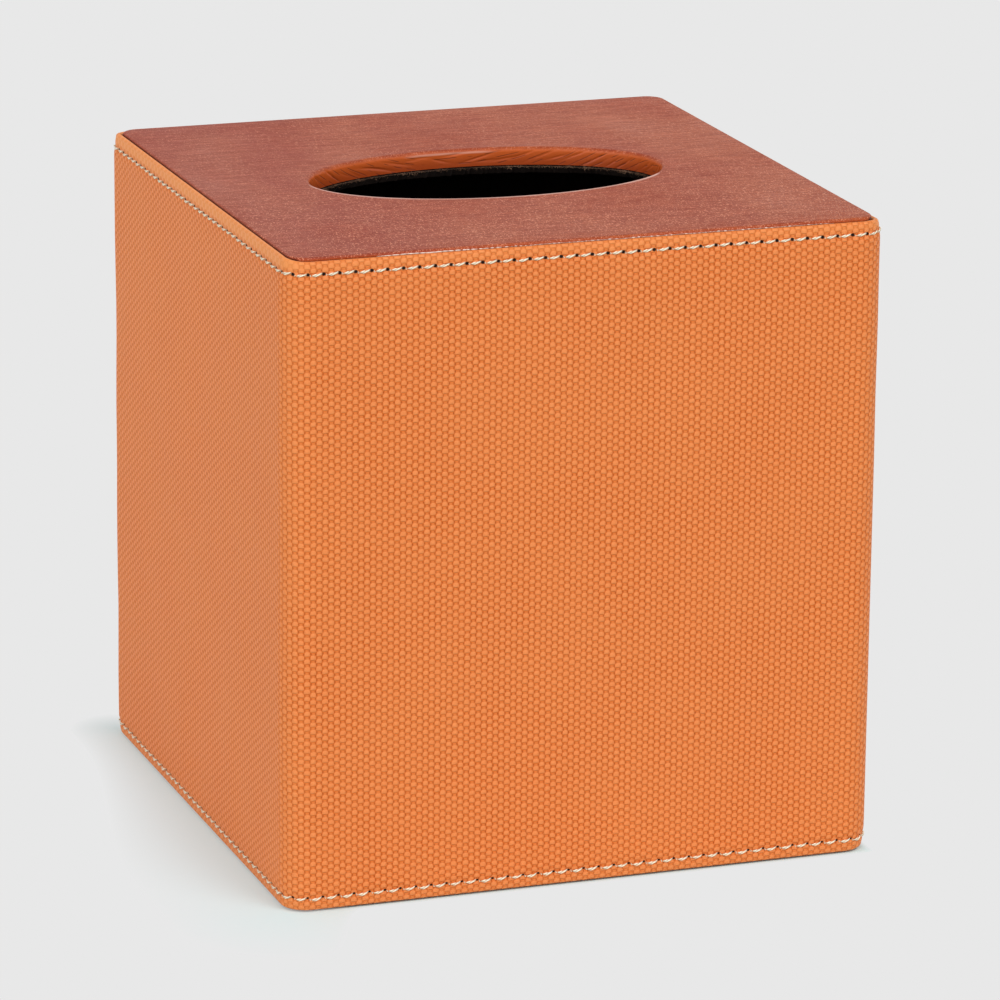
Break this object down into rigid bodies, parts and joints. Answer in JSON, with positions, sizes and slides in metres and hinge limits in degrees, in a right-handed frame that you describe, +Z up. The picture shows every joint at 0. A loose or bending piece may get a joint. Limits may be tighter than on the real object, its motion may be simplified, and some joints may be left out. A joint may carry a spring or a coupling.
{
  "type": "tissue box cover",
  "caption": "Cube cover for a box of tissues: sewn leatherette sleeve over a board box, oval mouth on top, magnetic loading flap underneath.",
  "frame": {"origin": "middle of the foot, on the surface that the cover stands on", "axes": "+Z up, the front faces -Y, +X is the right-hand side seen from the front, the flap hinges at the back"},
  "size_m": [0.134, 0.134, 0.142],
  "materials": {
    "embossed_leatherette": "embossed, satin",
    "smooth_leatherette": "fine grain, satin",
    "fibreboard": "raw",
    "foam": "matte",
    "velvet": "napped",
    "magnet": "plated"
  },
  "bodies": {
    "cover": {"sleeve": "embossed_leatherette", "sleeve_padding": "foam", "foot_binding": "smooth_leatherette", "back_board": "fibreboard", "left_board": "fibreboard", "front_board": "fibreboard", "right_board": "fibreboard", "wall_magnet_left": "magnet", "wall_magnet_right": "magnet", "top_board": "fibreboard", "top_skin": "smooth_leatherette", "top_lining": "velvet", "back_liner": "velvet", "front_liner": "velvet", "right_liner": "velvet", "left_liner": "velvet", "wall_hinge_leaf": "smooth_leatherette"},
    "flap": {"flap_hinge_leaf": "smooth_leatherette", "flap_cover": "smooth_leatherette", "flap_board": "fibreboard", "flap_magnet_left": "magnet", "flap_magnet_right": "magnet", "flap_lining": "velvet"}
  },
  "joints": [
    {"name": "flap_hinge", "type": "hinge", "parent": "cover", "child": "flap", "pos_m": [0, 0.05835, 0], "axis": [1, 0, 0], "range_deg": [0, 175]}
  ]
}
